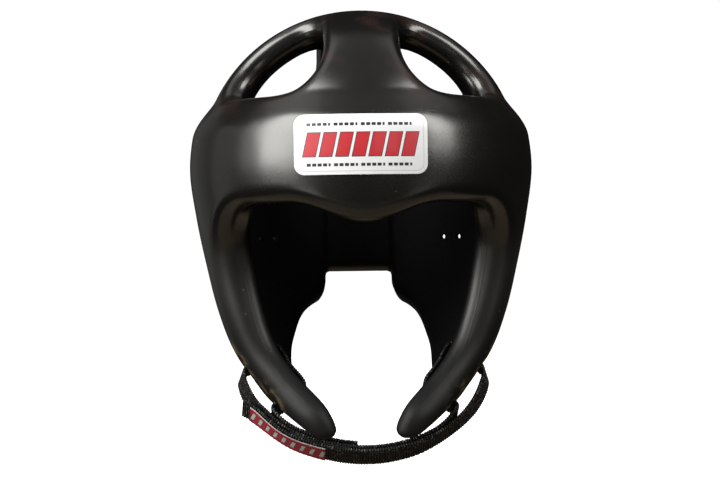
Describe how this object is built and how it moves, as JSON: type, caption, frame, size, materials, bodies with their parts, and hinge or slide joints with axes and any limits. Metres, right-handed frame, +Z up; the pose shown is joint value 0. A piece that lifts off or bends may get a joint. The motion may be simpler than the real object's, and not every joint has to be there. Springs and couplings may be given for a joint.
{
  "type": "moulded foam head guard",
  "caption": "Moulded foam head guard for contact sport with a thick brow band, open crown bars, cheek arms and a webbing chin strap closed by hook and loop.",
  "frame": {"origin": "where the top of the wearer's head meets the underside of the crown", "axes": "+X to the wearer's left, +Y to the back of the head, +Z up"},
  "size_m": [0.211, 0.2479, 0.2766],
  "materials": {
    "foam_skin": "black moulded foam skin with a satin gloss",
    "label_film": "white printed film",
    "webbing": "black ribbed webbing",
    "woven_label": "red and white woven tape"
  },
  "bodies": {
    "root": {"shell": "foam_skin", "front_label": "label_film", "chin_strap": "webbing", "loop_strap": "webbing", "strap_label": "woven_label"}
  },
  "joints": []
}
